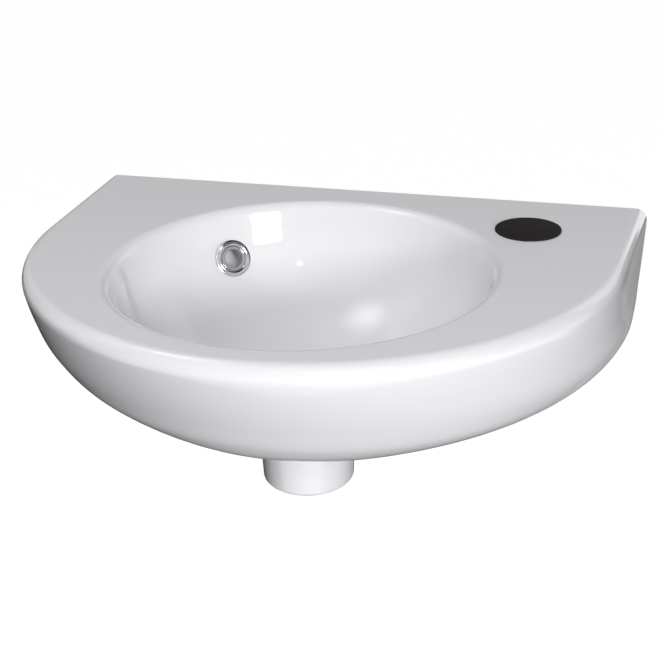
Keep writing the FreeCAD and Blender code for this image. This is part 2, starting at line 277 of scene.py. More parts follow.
def arc(centre, radius, start, end, count):
    """Points of a circle from one turn to another."""
    turns = np.linspace(start, end, count)
    return [(centre[0] + radius * math.cos(t), centre[1] + radius * math.sin(t)) for t in turns]


def full_turn(steps):
    """Turns of the points of a ring."""
    return np.arange(steps) * 2 * math.pi / steps


def hoop(radius, height, steps):
    """Ring of points about the upright axis; the radius is one number or one for each point."""
    turns = full_turn(steps)
    return np.stack([radius * np.cos(turns), radius * np.sin(turns), np.full(steps, height)], axis=-1)


def lathe(name, profile, place, steps=96, closed=False):
    """Profile of radius and height turned about an axis; a closed one has its end joined to its start."""
    mesh = grid_mesh(name, [hoop(radius, height, steps) for radius, height in profile], closed)
    mesh.transform(place)
    return mesh


def placed(origin, axis):
    """Matrix that turns an upright shape along an axis and puts it at a point."""
    turn = Vector(axis).to_track_quat("Z", "Y").to_matrix().to_4x4()
    return Matrix.Translation(Vector(origin)) @ turn


def softened(corners, steps=6):
    """Profile points with rounded corners, from the radius, height and rounding of each corner."""
    points = []
    count = len(corners)
    for k in range(count):
        here = np.array(corners[k][:2])
        rounding = corners[k][2]
        if rounding == 0:
            points.append(tuple(here))
            continue
        before = unit(np.array(corners[k - 1][:2]) - here)
        after = unit(np.array(corners[(k + 1) % count][:2]) - here)
        half = math.acos(np.clip(before @ after, -1, 1)) / 2
        reach = rounding / math.tan(half)
        middle = here + unit(before + after) * rounding / math.sin(half)
        start = here + before * reach - middle
        end = here + after * reach - middle
        sweep = math.acos(np.clip(start @ end / rounding ** 2, -1, 1))
        for t in np.linspace(0, 1, steps):
            spot = middle + (start * math.sin((1 - t) * sweep) + end * math.sin(t * sweep)) / math.sin(sweep)
            points.append(tuple(spot))
    return points


def prism(name, outline, heights):
    """Upright shape with the same outline at both heights."""
    return grid_mesh(name, [[(x, y, z) for x, y in outline] for z in heights])


def block(name, low, high):
    (a, b, c), (d, e, f) = low, high
    return prism(name, [(a, b), (d, b), (d, e), (a, e)], (c, f))


def combine(thing, cutter, operation):
    """Boolean step that a piece goes through when it is settled."""
    tool = new_object(cutter.name, cutter)
    step = thing.modifiers.new(cutter.name, "BOOLEAN")
    step.operation = operation
    step.solver = "MANIFOLD"
    step.object = tool
    return tool


def settle(thing, tools=()):
    """Turn a piece with its modifiers into a plain mesh."""
    bpy.context.view_layer.update()
    seen = thing.evaluated_get(bpy.context.evaluated_depsgraph_get())
    mesh = bpy.data.meshes.new_from_object(seen)
    thing.modifiers.clear()
    thing.data = mesh
    mesh.name = thing.name
    for tool in tools:
        bpy.data.objects.remove(tool)
    return mesh


def carved(name, mesh, steps):
    """Mesh after a list of boolean steps, each a cutter and an operation."""
    thing = new_object(name, mesh)
    tools = [combine(thing, cutter, operation) for cutter, operation in steps]
    made = settle(thing, tools)
    bpy.data.objects.remove(thing)
    if len(made.polygons) == 0:
        raise RuntimeError(f"nothing was left of {name}")
    return made


def without_slivers(mesh):
    """Mesh with the edges and faces of no size taken out."""
    made = bmesh.new()
    made.from_mesh(mesh)
    bmesh.ops.dissolve_degenerate(made, dist=SLIVER, edges=made.edges[:])
    made.to_mesh(mesh)
    made.free()
    return mesh


# Ceramic

def eased(table, at):
    """Smooth curve through a table of levels: cubic pieces with parabolic slopes at the levels."""
    levels = np.array(LEVEL_DEPTHS)
    table = np.array(table)
    steps = np.diff(levels)
    rises = np.diff(table) / steps
    inner = (steps[1:] * rises[:-1] + steps[:-1] * rises[1:]) / (steps[:-1] + steps[1:])
    slopes = np.concatenate([[2 * rises[0] - inner[0]], inner, [2 * rises[-1] - inner[-1]]])
    k = np.clip(np.searchsorted(levels, at, side="right") - 1, 0, len(steps) - 1)
    t = (at - levels[k]) / steps[k]
    ends = table[k] * (1 + 2 * t) * (1 - t) ** 2 + table[k + 1] * t * t * (3 - 2 * t)
    return ends + steps[k] * t * (1 - t) * (slopes[k] * (1 - t) - slopes[k + 1] * t)


def level(share):
    """Half width, side taper and reach of the skin at a share of its depth."""
    s = sizes()
    half = s.width / 2 * eased(HALF_WIDTHS, share)
    return half, np.radians(eased(SIDE_TAPERS, share)), s.reach * eased(REACHES, share)


def front_radius(half, taper, reach):
    """Radius of the front arc that the tapered sides run into."""
    return (half * np.cos(taper) - reach * np.sin(taper)) / (1 - np.sin(taper))


def on_outline(half, taper, reach, column):
    """Points of a level's outline; the column runs from 1 at the right to 0 in front and -1 at the left."""
    radius = front_radius(half, taper, reach)
    centre = radius - reach
    side_x = radius * np.cos(taper)
    side_y = centre - radius * np.sin(taper)
    along = 1 - np.abs(column)
    side_share = SIDE_COLUMNS / (SIDE_COLUMNS + ARC_COLUMNS)
    on_side = np.clip(along / side_share, 0, 1)
    on_arc = np.clip((along - side_share) / (1 - side_share), 0, 1)
    turn = -taper - (math.pi / 2 - taper) * on_arc
    straight = along < side_share
    x = np.where(straight, half + (side_x - half) * on_side, radius * np.cos(turn))
    y = np.where(straight, side_y * on_side, centre + radius * np.sin(turn))
    return np.where(column < 0, -x, x), y


def skin(share, column):
    """Points of the outer skin."""
    s = sizes()
    x, y = on_outline(*level(share), column)
    return np.stack([x, y, s.deck_height - s.skin_depth * share + 0 * x], axis=-1)


def front_columns():
    count = SIDE_COLUMNS + ARC_COLUMNS
    return np.linspace(1, -1, 2 * count + 1)


def with_back(ring, count):
    """A row of points closed along the wall, from its last point to its first."""
    t = np.linspace(0, 1, count + 2)[1:-1, None]
    return np.concatenate([ring, ring[-1] + (ring[0] - ring[-1]) * t])


def rim_rows(columns):
    """Rounded rim, as a ball rolls round under deck and skin, and the shares where the skin goes on."""
    s = sizes()
    shares = np.linspace(0.02, 0.14, 25)  # the rim's foot is between these shares of the depth
    table, across = np.meshgrid(shares, columns, indexing="ij")
    points = skin(table, across)
    normals = unit(np.cross(np.gradient(points, axis=1), np.gradient(points, axis=0)))
    middle = points[:, len(columns) // 2]
    if normals[0, len(columns) // 2] @ (middle[0] - [0, 0, middle[0][2]]) < 0:
        normals = -normals
    short = s.skin_depth * table - s.rim_radius * (1 - normals[..., 2])
    contact = np.array([np.interp(0, short[:, k], shares) for k in range(len(columns))])
    touch = skin(contact, columns)
    facing = unit(np.stack([
        [np.interp(contact[k], shares, normals[:, k, axis]) for axis in range(3)] for k in range(len(columns))
    ]))
    centre = touch - s.rim_radius * facing
    sweep = np.arccos(facing[:, 2])[:, None]
    rows = []
    for t in np.linspace(0, 1, RIM_ROWS):
        aim = (UP * np.sin((1 - t) * sweep) + facing * np.sin(t * sweep)) / np.sin(sweep)
        row = centre + s.rim_radius * aim
        row[:, 1] = np.minimum(row[:, 1], 0)
        row[[0, -1], 1] = 0
        rows.append(row)
    return rows, contact


def bowl_marks():
    """Main points of the bowl's profile, as radius and height, and the heights of its seat."""
    s = sizes()
    slope = np.array([math.cos(s.side_draft), math.sin(s.side_draft)])
    lip = np.array([s.mouth_radius, s.deck_height - s.lip_radius])
    side_top = lip + s.lip_radius * np.array([-slope[0], slope[1]])
    side_foot = side_top - s.side_length * slope[::-1]
    centre = side_foot + s.bowl_radius * np.array([-slope[0], slope[1]])
    turn = math.pi / 2 - s.floor_fall
    floor_edge = centre + s.bowl_radius * np.array([math.cos(turn), -math.sin(turn)])
    seat_top = floor_edge[1] - (floor_edge[0] - s.seat_radius) * math.tan(s.floor_fall)
    marks = SimpleNamespace(lip=lip, side_top=side_top, side_foot=side_foot, centre=centre)
    marks.seat_top, marks.seat = seat_top, seat_top - s.seat_depth
    return marks


def bowl_profile():
    """Radius and height of the bowl, from the deck down to the middle of its seat."""
    s = sizes()
    b = bowl_marks()
    points = arc(b.lip, s.lip_radius, math.pi / 2, math.pi - s.side_draft, LIP_ROWS)
    points += [b.side_top + (b.side_foot - b.side_top) * t for t in (0.25, 0.5, 0.75, 1)]
    points += arc(b.centre, s.bowl_radius, -s.side_draft, s.floor_fall - math.pi / 2, BOWL_ROWS)[1:]
    edge = 0.6 * MM
    points += [(s.seat_radius + edge, b.seat_top), (s.seat_radius, b.seat_top - edge)]
    points += [(radius, b.seat) for radius in (s.seat_radius, s.outlet_radius, s.outlet_radius / 2)]
    return [tuple(p) for p in points]


def casting_mesh():
    """The casting before anything is cut from it: bowl, deck, rim and skin as one closed net."""
    s = sizes()
    columns = front_columns()
    rim, contact = rim_rows(columns)
    rim = [with_back(row, BACK_COLUMNS) for row in rim]
    axis = np.array([0, -s.bowl_reach])
    away = unit(rim[0][:, :2] - axis)
    rings = []
    for radius, height in reversed(bowl_profile()):
        spot = axis + radius * away
        rings.append(np.column_stack([spot, np.full(len(spot), height)]))
    lip = rings[-1]
    for t in DECK_SHARES:
        rings.append(lip + (rim[0] - lip) * t)
    rings += rim
    for t in np.linspace(0, 1, SKIN_ROWS + 1)[1:]:
        share = contact + (1 - contact) * (1 - (1 - t) ** SKIN_CROWDING)
        rings.append(with_back(skin(share, columns), BACK_COLUMNS))
    return grid_mesh("casting", rings)


def hollow_mesh():
    """The space between skin and bowl, open to the wall below the rail."""
    s = sizes()
    shares = np.linspace(0, 1, HOLLOW_ROWS)
    half, taper, reach = level(shares)
    depth = s.skin_depth * shares
    order = np.arange(HOLLOW_ROWS)
    above, below = np.maximum(order - 1, 0), np.minimum(order + 1, HOLLOW_ROWS - 1)
    tilt = np.arctan2(reach[above] - reach[below], depth[below] - depth[above])
    inwards = s.skin_wall * np.cos(tilt)
    columns = np.linspace(1, -1, HOLLOW_COLUMNS)
    rings = []
    for k in order:
        x, y = on_outline(half[k] - s.skin_wall, taper[k], reach[k] - inwards[k], columns)
        y[[0, -1]] = PAST
        z = s.deck_height - depth[k] + s.skin_wall * math.sin(tilt[k])
        rings.append(with_back(np.column_stack([x, y, np.full(len(x), z)]), HOLLOW_BACK))
    low = s.deck_height - s.skin_depth
    wide = s.width
    ceiling = s.deck_height - s.deck_wall
    kept = block("hollow_limit", (-wide, -s.cavity_reach, low - PAST), (wide, PAST / 2, ceiling))
    rail_foot = s.deck_height - s.rail_height
    rail = block("rail", (-wide, -s.rail_wall, rail_foot), (wide, 3 * PAST, s.deck_height + PAST))
    steps = [(kept, "INTERSECT"), (rail, "DIFFERENCE"), (bowl_mass(), "DIFFERENCE")]
    steps += [(piece, "DIFFERENCE") for piece in duct_jacket()]
    return carved("hollow", grid_mesh("hollow_net", rings), steps)


def bowl_mass():
    """The bowl with its wall, filled, as the hollow sees it."""
    s = sizes()
    centre = bowl_marks().centre
    curve = arc(centre, s.bowl_radius + s.bowl_wall, -s.side_draft, s.floor_fall - math.pi / 2, 33)
    top = (curve[0][0] + (s.deck_height - curve[0][1]) * math.tan(s.side_draft), s.deck_height)
    floor = (MM, curve[-1][1] - (curve[-1][0] - MM) * math.tan(s.floor_fall))
    return lathe("bowl_mass", [(MM, top[1]), top, *curve, floor], Matrix.Translation((0, -s.bowl_reach, 0)))


def boss_mesh():
    """Outlet boss, a little wider at the top, with a rounded foot."""
    s = sizes()
    top = bowl_marks().seat - s.bowl_wall / 2
    corners = [
        (MM, top, 0),
        (s.boss_root_radius, top, 0),
        (s.boss_end_radius, s.outlet_foot, s.boss_edge),
        (MM, s.outlet_foot, 0),
    ]
    return lathe("boss", softened(corners, 9), Matrix.Translation((0, -s.bowl_reach, 0)))


def access_mesh():
    """Open place under the rear, rounded at its front corners."""
    s = sizes()
    centre = (s.access_half_width - s.access_corner, s.access_corner - s.access_reach)
    outline = [(s.access_half_width, PAST), *arc(centre, s.access_corner, 0, -math.pi / 2, 13)]
    outline += [(-x, y) for x, y in reversed(outline)]
    return prism("access", outline, (s.deck_height - s.skin_depth - PAST, s.deck_height - s.rail_height))


def overflow_frame():
    """Middle of the overflow on the bowl's side, the way there from the bowl's axis, and the ring's axis."""
    s, o = sizes(), overflow_sizes()
    centre = bowl_marks().centre
    height = s.deck_height - o.drop
    tilt = math.asin((centre[1] - height) / s.bowl_radius)
    turn = math.pi / 2 + o.turn
    away = np.array([math.cos(turn), math.sin(turn), 0])
    radius = centre[0] + s.bowl_radius * math.cos(tilt)
    point = np.array([0, -s.bowl_reach, height]) + away * radius
    return point, away, UP * math.sin(tilt) - away * math.cos(tilt)


def rod(name, radius, origin, axis, start, end):
    """Plain round bar along an axis."""
    profile = [(radius / 2, start), (radius, start), (radius, end), (radius / 2, end)]
    return lathe(name, profile, placed(origin, axis), 64)


def duct_marks():
    """Start, knee and end of the overflow's duct."""
    s, o = sizes(), overflow_sizes()
    point, away, into = overflow_frame()
    base = np.array([0, -s.bowl_reach, s.deck_height])
    knee = base + away * o.knee_radius - UP * o.knee_drop
    end = base + away * s.outlet_radius - UP * o.end_drop
    return [point + into * (o.duct_radius - o.chamber_depth), knee, end]


def duct_pieces(name, radius):
    """Straight runs of the duct, each with a round end."""
    pieces = []
    marks = duct_marks()
    for a, b in zip(marks, marks[1:]):
        run = np.linalg.norm(b - a)
        profile = [(radius / 4, 0), (radius, 0), *arc((0, run), radius, 0, math.pi / 2, 9)[:-1]]
        pieces.append(lathe(name, profile, placed(a, b - a), 48))
    return pieces


def duct_jacket():
    """Ceramic left standing in the hollow around the overflow's chamber and duct."""
    s, o = sizes(), overflow_sizes()
    point, _, into = overflow_frame()
    deep = -o.chamber_depth - o.chamber_wall
    chamber = rod("chamber_jacket", o.hole_radius + o.chamber_wall, point, into, deep, -s.bowl_wall / 2)
    return [chamber, *duct_pieces("duct_jacket", o.duct_radius + o.duct_wall)]


def tap_hole_mesh():
    """Cutter of the tap hole with its flared mouth."""
    s = sizes()
    deck, radius, flare = s.deck_height, s.tap_hole_radius, s.tap_flare
    over, under = deck + PAST, deck - s.deck_wall - PAST
    profile = [(MM, over), (radius + flare + PAST, over), (radius, deck - flare), (radius, under), (MM, under)]
    return lathe("tap_hole", profile, OVER_TAP_HOLE)


def ceramic_mesh():
    """The whole casting with all that is cut out of it."""
    s, o = sizes(), overflow_sizes()
    point, _, into = overflow_frame()
    axis = (0, -s.bowl_reach, 0)
    seat = bowl_marks().seat
    steps = [
        (hollow_mesh(), "DIFFERENCE"),
        (access_mesh(), "DIFFERENCE"),
        (boss_mesh(), "UNION"),
        (rod("outlet_bore", s.outlet_radius, axis, UP, s.outlet_foot - PAST, seat + PAST), "DIFFERENCE"),
        (rod("overflow_hole", o.hole_radius, point, into, -o.chamber_depth, s.bowl_wall), "DIFFERENCE"),
        (tap_hole_mesh(), "DIFFERENCE"),
    ]
    steps += [(piece, "DIFFERENCE") for piece in duct_pieces("duct", o.duct_radius)]
    half = fixing_sizes().spacing / 2
    for x in (-half, half):
        hole = rod("rail_hole", s.rail_hole_radius, (x, 0, 0), (0, 1, 0), -s.rail_wall - PAST, PAST)
        steps.append((hole, "DIFFERENCE"))
    return without_slivers(carved("ceramic", casting_mesh(), steps))


# Finishes

def grey(level):
    return (level, level, level, 1)


def maths(operation):
    """An operator on values and its reflected form, each of which adds a Math node."""
    def forward(self, other):
        return self.nodes.node("ShaderNodeMath", {"operation": operation}, {0: self, 1: other})

    def reflected(self, other):
        return self.nodes.node("ShaderNodeMath", {"operation": operation}, {0: other, 1: self})

    return forward, reflected


class Value:
    """Output of a node that Python's operators can work with."""

    def __init__(self, nodes, socket):
        self.nodes = nodes
        self.socket = socket

    __add__, __radd__ = maths("ADD")
    __sub__, __rsub__ = maths("SUBTRACT")
    __mul__, __rmul__ = maths("MULTIPLY")
    __truediv__, __rtruediv__ = maths("DIVIDE")
    __gt__, __lt__ = maths("GREATER_THAN")


class Nodes:
    """A tree of nodes."""

    def __init__(self, tree):
        self.tree = tree
        tree.nodes.clear()

    def node(self, kind, settings=None, inputs=None, output=0):
        """One node: its settings first, then its sockets' values or links. Gives one of its outputs."""
        made = self.tree.nodes.new(kind)
        for name, value in (settings or {}).items():
            if name == "stops":
                self.set_stops(made.color_ramp, value)
            else:
                setattr(made, name, value)
        for name, value in (inputs or {}).items():
            if isinstance(value, Value):
                self.tree.links.new(value.socket, made.inputs[name])
            else:
                made.inputs[name].default_value = value
        return Value(self, made.outputs[output]) if len(made.outputs) else None

    def set_stops(self, ramp, stops):
        while len(ramp.elements) < len(stops):
            ramp.elements.new(1)
        for element, (position, level) in zip(ramp.elements, stops):
            element.position = position
            element.color = grey(level)


class Finish(Nodes):
    """The shader nodes of a material or of the world."""

    def __init__(self, owner):
        owner.use_nodes = True
        self.owner = owner
        super().__init__(owner.node_tree)

    def place(self):
        return self.node("ShaderNodeTexCoord", output="Object")

    def noise(self, at, scale, detail=2.0, roughness=0.5):
        inputs = {"Vector": at, "Scale": scale, "Detail": detail, "Roughness": roughness}
        return self.node("ShaderNodeTexNoise", None, inputs)

    def cells(self, at, scale):
        return self.node("ShaderNodeTexVoronoi", None, {"Vector": at, "Scale": scale})

    def ramp(self, value, *stops):
        return self.node("ShaderNodeValToRGB", {"stops": stops}, {"Fac": value})

    def stretched(self, at, scale):
        return self.node("ShaderNodeMapping", None, {"Vector": at, "Scale": scale})

    def mix(self, share, first, second):
        """Colour between two colours."""
        inputs = {0: share, 6: first, 7: second}
        return self.node("ShaderNodeMix", {"data_type": "RGBA"}, inputs, 2)

    def bump(self, height, strength, distance):
        inputs = {"Height": height, "Strength": strength, "Distance": distance}
        return self.node("ShaderNodeBump", None, inputs)

    def surface(self, inputs):
        shader = self.node("ShaderNodeBsdfPrincipled", None, inputs)
        self.node("ShaderNodeOutputMaterial", None, {"Surface": shader})
        return self.owner


def finish_of(name):
    return Finish(bpy.data.materials.new(name))


def shaded(tone, share):
    """A colour at a share of its strength."""
    return (*(min(1.0, c * share) for c in tone), 1)


CHALK = (0.80, 0.77, 0.71)  # colour of the ceramic where it has no glaze


def glazed_ceramic(tone):
    """White gloss glaze with a faint orange peel, bare and chalky where the ware stood or meets the wall."""
    f = finish_of("glazed_ceramic")
    at = f.place()
    cloud = f.noise(at, 7, 3)
    peel = f.noise(at, 210, 2, 0.4)
    ripple = f.noise(at, 38, 1)
    grain = f.noise(at, 900, 4, 0.7)
    bare = f.node("ShaderNodeAttribute", {"attribute_name": "bare"}, None, "Fac")
    glaze = f.mix(cloud, shaded(tone, 0.985), shaded(tone, 1.012))
    chalk = f.mix(grain, shaded(CHALK, 0.9), shaded(CHALK, 1.05))
    sheen = 0.045 + 0.035 * f.noise(at, 16, 2)
    return f.surface({
        "Base Color": f.mix(bare, glaze, chalk),
        "Roughness": sheen * (1 - bare) + 0.85 * bare,
        "IOR": 1.56,
        "Normal": f.bump((peel * 0.35 + ripple) * (1 - bare) + grain * bare, 0.05, 0.0006),
    })


def polished_chrome(tone):
    """Bright plating with faint hairlines and a breath of haze."""
    f = finish_of("polished_chrome")
    at = f.place()
    haze = f.noise(at, 340, 3)
    hairline = f.noise(f.stretched(at, (4000, 300, 900)), 1, 2)
    return f.surface({
        "Base Color": f.mix(haze, shaded(tone, 0.92), shaded(tone, 1.0)),
        "Metallic": 1.0,
        "Roughness": 0.075 + 0.02 * haze,
        "Normal": f.bump(hairline, 0.001, 0.0001),
    })


def moulded_plastic(name, tone, roughness, specular, depth):
    """Satin moulding with a fine grain and a slight drift of tone."""
    f = finish_of(name)
    at = f.place()
    grain = f.noise(at, 2600, 3, 0.6)
    drift = f.noise(at, 120, 2)
    return f.surface({
        "Base Color": f.mix(drift * 0.6 + grain * 0.4, shaded(tone, 0.9), shaded(tone, 1.1)),
        "Roughness": roughness - 0.06 + 0.12 * grain,
        "Specular IOR Level": specular,
        "Normal": f.bump(grain, depth, 0.0001),
    })


def seal_rubber(tone):
    """Matt rubber with a bloom of dust."""
    f = finish_of("seal_rubber")
    at = f.place()
    bloom = f.noise(at, 700, 4, 0.65)
    return f.surface({
        "Base Color": f.mix(bloom, shaded(tone, 0.8), shaded(tone, 1.5)),
        "Roughness": 0.72 + 0.18 * bloom,
        "Normal": f.bump(bloom, 0.15, 0.0002),
    })


def zinc_steel(tone):
    """Zinc plating: small crystals, a cool and warm drift and dull spots."""
    f = finish_of("zinc_steel")
    at = f.place()
    crystal = f.cells(at, 900)
    drift = f.noise(at, 160, 3)
    spot = f.ramp(f.noise(at, 420, 2), (0.52, 0), (0.7, 1))
    warm = (tone[0] * 1.06, tone[1] * 1.02, tone[2] * 0.92, 1)
    return f.surface({
        "Base Color": f.mix(drift, shaded(tone, 0.92), warm),
        "Metallic": 1.0,
        "Roughness": 0.24 + 0.16 * drift + 0.12 * spot,
        "Normal": f.bump(crystal, 0.06, 0.0001),
    })


def dress(mesh, material, name, node, body):
    """Finished piece: its material, the node it stands for and the body that carries it."""
    mesh.materials.clear()
    mesh.materials.append(material)
    piece = new_object(name, mesh)
    mesh.name = name
    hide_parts(node)
    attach(piece, body)
    return piece


def mark_bare(mesh):
    """Mark the faces that have no glaze: the wall face, the boss end and the inside of the hollow."""
    s = sizes()
    middle = np.empty(len(mesh.polygons) * 3)
    mesh.polygons.foreach_get("center", middle)
    x, y, z = middle.reshape(-1, 3).T
    share = np.clip((s.deck_height - z) / s.skin_depth, 0, 1)
    half, taper, reach = level(share)
    radius = front_radius(half, taper, reach)
    centre = bowl_marks().centre
    wall = s.bowl_radius + s.bowl_wall / 2
    axis_distance = np.hypot(x, y + s.bowl_reach)
    beside_bowl = np.hypot(axis_distance - centre[0], z - centre[1]) > wall
    beside_bowl |= (axis_distance > s.mouth_radius) & (z > centre[1] - s.bowl_radius / 2)
    from_side = (half - np.abs(x)) * np.cos(taper) + y * np.sin(taper)
    lower = z < s.deck_height - s.deck_wall / 2
    within = lower & beside_bowl & (from_side > s.skin_wall / 2) & (y > -s.cavity_reach - MM)
    arc_centre = radius - reach
    within &= (y > arc_centre) | (np.hypot(x, y - arc_centre) < radius - s.skin_wall / 2)
    within &= (z > s.deck_height - s.skin_depth + MM) & (axis_distance > s.boss_root_radius + MM)
    point, _, into = overflow_frame()
    aside = np.stack([x, y, z], axis=1) - point
    aside -= np.outer(aside @ into, into)
    within &= np.linalg.norm(aside, axis=1) > overflow_sizes().hole_radius + MM
    close = 0.3 * MM
    bare = within | (y > -close) | (z < s.outlet_foot + close)
    attribute = mesh.attributes.new("bare", "FLOAT", "FACE")
    attribute.data.foreach_set("value", bare.astype(np.float32))


# Overflow

def ring_mesh(place):
    """Chrome ring: thin flange with a soft edge, round ridge, inner slope and barrel."""
    o = overflow_sizes()
    seat = o.seal_thickness
    face = seat + o.ring_thickness
    back = seat - o.barrel_length
    outer, bore = o.ring_radius, o.bore_radius
    chamfer, edge = 0.4 * MM, 0.45 * MM
    profile = [(o.barrel_radius, back + chamfer), (o.barrel_radius, seat), (outer - 0.2 * MM, seat)]
    flange = seat + 1.0 * MM
    profile += arc((outer - edge, flange - edge), edge, -0.2, math.pi / 2 - 0.08, 9)
    ridge, fillet, bead = 1.35 * MM, 0.3 * MM, 0.3 * MM
    crest = outer - 2.95 * MM
    profile += [(crest + ridge + fillet, flange - 0.02 * MM), (crest + ridge + 0.1 * MM, flange + 0.1 * MM)]
    profile += arc((crest, face - ridge), ridge, 0.12, math.pi * 0.66, 14)
    lip = face - 1.15 * MM
    profile += arc((bore + bead, lip - bead), bead, 0.9, math.pi, 7)
    profile += [(bore, back), (o.barrel_radius - chamfer, back)]
    return shade(lathe("overflow_ring", profile, place, 128, True))


def sleeve_mesh(place):
    """Inner sleeve with a soft mouth and two snap grooves inside."""
    o = overflow_sizes()
    face = o.seal_thickness + o.ring_thickness - o.sleeve_sink
    foot = face - o.sleeve_length
    outer, inner = o.bore_radius - o.sleeve_clearance, o.sleeve_bore
    corners = [(outer, foot, 0.3 * MM), (outer, face, 0.35 * MM), (inner, face, 0.5 * MM)]
    groove = ((0, 0), (0.4, 0.4), (0.4, 1.1), (0, 1.5))
    for start in (3.2, 5.6):
        corners += [(inner + deep * MM, face - (start + along) * MM, 0.1 * MM) for deep, along in groove]
    corners.append((inner, foot, 0.3 * MM))
    return shade(lathe("overflow_sleeve", softened(corners, 5), place, closed=True))


def seal_mesh():
    """Rubber washer whose back follows the curve of the bowl's side."""
    s, o = sizes(), overflow_sizes()
    point, _, into = overflow_frame()
    centre = bowl_marks().centre
    first = unit(np.cross(UP, into))
    second = np.cross(into, first)
    steps = 96
    turns = full_turn(steps)[:, None]

    def ring(radius, height):
        return point + radius * (np.cos(turns) * first + np.sin(turns) * second) + height * into

    def on_wall(radius):
        height = np.zeros((steps, 1))
        for _ in range(8):
            p = ring(radius, height)
            out = np.hypot(np.hypot(p[:, 0], p[:, 1] + s.bowl_reach) - centre[0], p[:, 2] - centre[1])
            height -= (s.bowl_radius - out)[:, None]
        return ring(radius, height)

    front = o.seal_thickness
    inner, outer = o.hole_radius, o.seal_radius
    rings = [on_wall(inner), on_wall(outer - 0.1 * MM), ring(outer, front - 0.4 * MM)]
    rings += [ring(outer - 0.2 * MM, front), ring(inner, front)]
    return shade(grid_mesh("overflow_seal", rings, True))


# Fixings

def fixing_tree():
    """Node tree that sets one fixing at each of a row of places and gives it its finish."""
    tree = bpy.data.node_groups.new("fixing_row", "GeometryNodeTree")
    n = Nodes(tree)
    kinds = {"Fixing": "Geometry", "Count": "Int", "Spacing": "Float", "Finish": "Material"}
    for name, kind in kinds.items():
        tree.interface.new_socket(name, in_out="INPUT", socket_type=f"NodeSocket{kind}")
    tree.interface.new_socket("Fixings", in_out="OUTPUT", socket_type="NodeSocketGeometry")
    fixing, count, spacing, finish = (n.node("NodeGroupInput", output=name) for name in kinds)
    start = n.node("ShaderNodeCombineXYZ", None, {"X": (count - 1) * spacing * -0.5})
    step = n.node("ShaderNodeCombineXYZ", None, {"X": spacing})
    row = n.node("GeometryNodeMeshLine", None, {"Count": count, "Start Location": start, "Offset": step})
    copies = n.node("GeometryNodeInstanceOnPoints", None, {"Points": row, "Instance": fixing})
    real = n.node("GeometryNodeRealizeInstances", None, {"Geometry": copies})
    painted = n.node("GeometryNodeSetMaterial", None, {"Geometry": real, "Material": finish})
    n.node("NodeGroupOutput", None, {"Fixings": painted})
    return tree


def fixing_row(tree, mesh, material):
    """Mesh of all the fixings of one kind."""
    f = fixing_sizes()
    given = {"Count": WALL["dims"]["count"], "Spacing": f.spacing, "Finish": material}
    thing = new_object("fixing", mesh)
    row = thing.modifiers.new("row", "NODES")
    row.node_group = tree
    for item in tree.interface.items_tree:
        if item.in_out == "INPUT" and item.name in given:
            row[item.identifier] = given[item.name]
    made = settle(thing)
    bpy.data.objects.remove(thing)
    return made


TO_WALL = placed((0, 0, 0), (0, 1, 0))


def bolt_mesh():
    """Hanger bolt: fine thread for the nut, plain collar, coarse thread with a point for the wall."""
    f = fixing_sizes()
    start, end, radius = BOLT_LOW.y, BOLT_HIGH.y, f.bolt_radius
    collar, coarse, point_length = -4 * MM, 6 * MM, 8 * MM
    heights = np.concatenate([
        np.arange(start, collar, f.bolt_pitch / 8),
        np.linspace(collar, coarse, 14)[:-1],
        np.arange(coarse, end, f.wall_pitch / 14),
        [end],
    ])
    heights = heights[np.append(np.diff(heights) > 0.01 * MM, True)]
    y, turn = np.meshgrid(heights, full_turn(30), indexing="ij")

    def along_thread(pitch):
        return np.abs(2 * ((y / pitch - turn / (2 * math.pi)) % 1) - 1)

    fine_depth, root = 0.75 * MM, f.wall_radius * 0.68
    fine = radius - fine_depth * np.clip(along_thread(f.bolt_pitch) * 1.25 - 0.12, 0, 1)
    flank = np.clip(1 - along_thread(f.wall_pitch) / 0.42, 0, 1)
    point = np.clip((end - y) / point_length, 0, 1)
    wood = (root + (f.wall_radius - root) * flank) * (0.2 + 0.8 * point)
    plain = radius * 0.96
    into_fine = np.clip((collar - y) / (1.5 * MM), 0, 1)
    into_wood = np.clip((y - coarse) / (4 * MM), 0, 1)
    r = plain + (fine - plain) * into_fine + (wood - plain) * into_wood
    r = np.minimum(r, radius - 1 * MM + (y - start))
    mesh = grid_mesh("hanger_bolt", np.stack([r * np.cos(turn), r * np.sin(turn), y], axis=-1))
    mesh.transform(TO_WALL)
    return shade(mesh, 50)


def nut_mesh():
    """Hexagon nut, chamfered at both faces."""
    f = fixing_sizes()
    steps, sixth = 120, math.pi / 3
    flat, bore = f.across_flats / 2, f.bolt_radius + f.room
    hexagon = flat / np.cos((full_turn(steps) + sixth / 2) % sixth - sixth / 2)
    bevel, slope, full_depth = 0.5 * MM, 1.7, 1.6 * MM
    rows = [(bore, bevel), (bore + bevel, 0)]
    for depth in np.array([0, 0.15, 0.35, 0.6, 0.9, 1.3]) * MM:
        rows.append((np.minimum(hexagon, flat - bevel + depth * slope), depth))
    rows.append((hexagon, full_depth))
    rings = [hoop(radius, NUT_LOW.y + depth, steps) for radius, depth in rows]
    rings += [hoop(radius, NUT_HIGH.y - depth, steps) for radius, depth in reversed(rows)]
    mesh = grid_mesh("fixing_nut", rings, True)
    mesh.transform(TO_WALL)
    return shade(mesh, 25)


def washer_mesh():
    """Pressed washer with one rounded and one sharper edge."""
    f = fixing_sizes()
    low, high = WASHER_LOW.y, WASHER_HIGH.y
    outer, bore = WASHER_HIGH.z, f.bolt_radius + f.room
    corners = [(bore, low, 0.3 * MM), (outer, low, 0.7 * MM), (outer, high, 0.2 * MM), (bore, high, 0.2 * MM)]
    return shade(lathe("fixing_washer", softened(corners), TO_WALL, closed=True))


